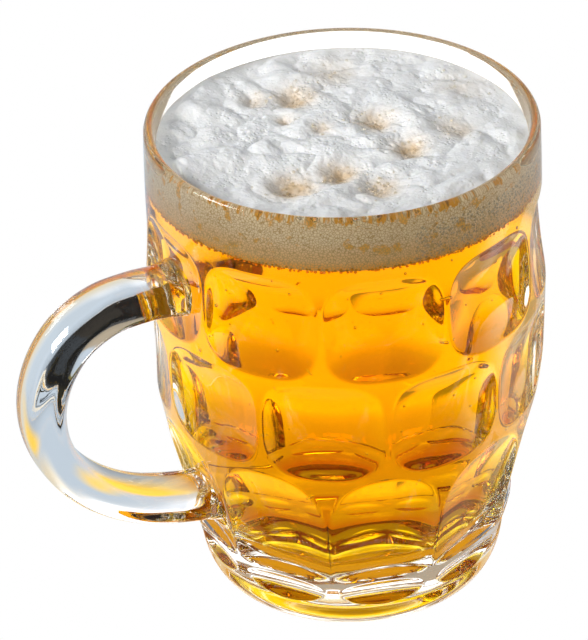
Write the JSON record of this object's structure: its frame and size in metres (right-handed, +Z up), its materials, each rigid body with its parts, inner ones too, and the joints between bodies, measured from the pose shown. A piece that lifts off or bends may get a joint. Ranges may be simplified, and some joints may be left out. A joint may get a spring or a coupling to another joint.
{
  "type": "pint of beer",
  "caption": "Dimpled clear glass beer mug with a looped side handle, filled with golden lager under a white head of foam; stands on its flat base.",
  "frame": {"origin": "centre of the mug's flat underside", "axes": "+Z up along the mug's own axis, -X towards the handle, +Y to the side"},
  "size_m": [0.1429, 0.1024, 0.13],
  "materials": {
    "clear_glass": "polished clear pressed glass",
    "golden_lager": "clear golden liquid",
    "white_foam": "fine white foam with small bubbles"
  },
  "bodies": {
    "root": {"glass_mug": "clear_glass", "beer": "golden_lager", "foam_head": "white_foam"}
  },
  "joints": []
}
